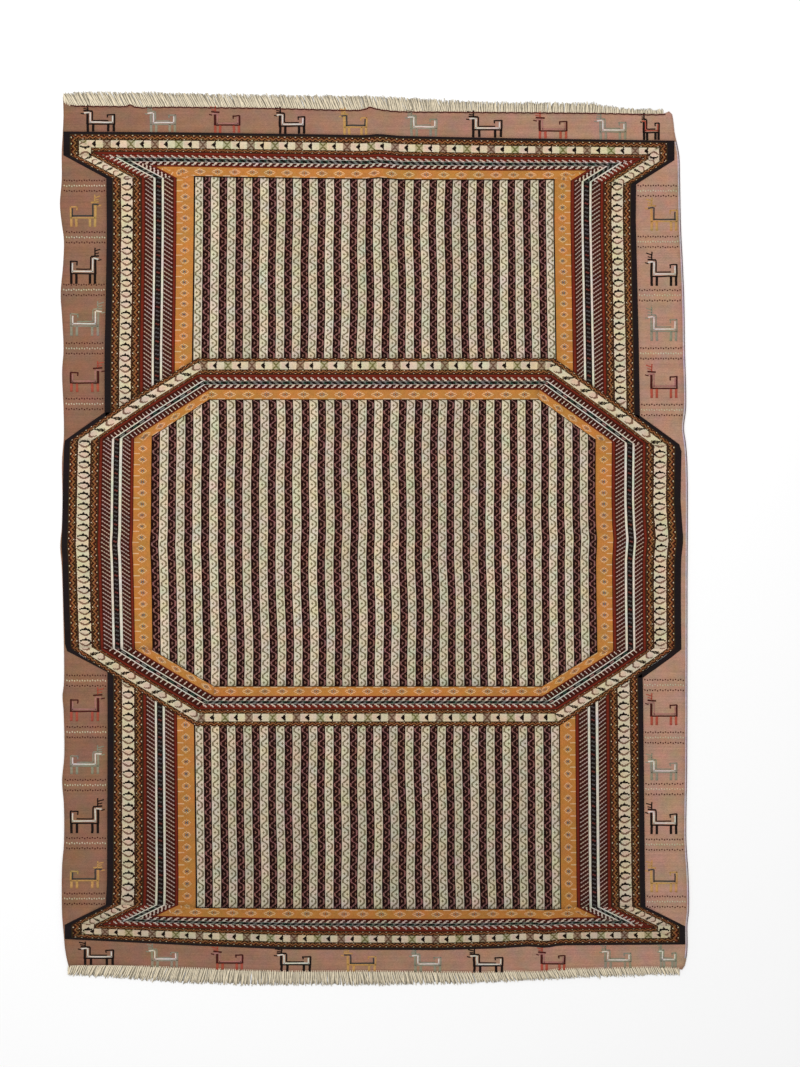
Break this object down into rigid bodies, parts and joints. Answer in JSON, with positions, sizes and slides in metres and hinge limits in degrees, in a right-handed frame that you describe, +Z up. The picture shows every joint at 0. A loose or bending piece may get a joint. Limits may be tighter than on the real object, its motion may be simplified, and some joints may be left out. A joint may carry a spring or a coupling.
{
  "type": "persian carpet",
  "caption": "Flat-woven carpet with a medallion between two striped panels, plain edge strips and a warp fringe at both ends, lying flat.",
  "frame": {"origin": "under the middle of the carpet, on the surface it lies on", "axes": "+X to the right of the face, +Y to the top end of the carpet, +Z up out of the face"},
  "size_m": [1.7606, 2.5056, 0.0042],
  "materials": {
    "wool_weave": "matt wool, plain and weft-wrapped weave",
    "cotton_fringe": "matt undyed twisted yarn"
  },
  "bodies": {
    "root": {"carpet_cloth": "wool_weave", "fringe_top": "cotton_fringe", "fringe_bottom": "cotton_fringe"}
  },
  "joints": []
}
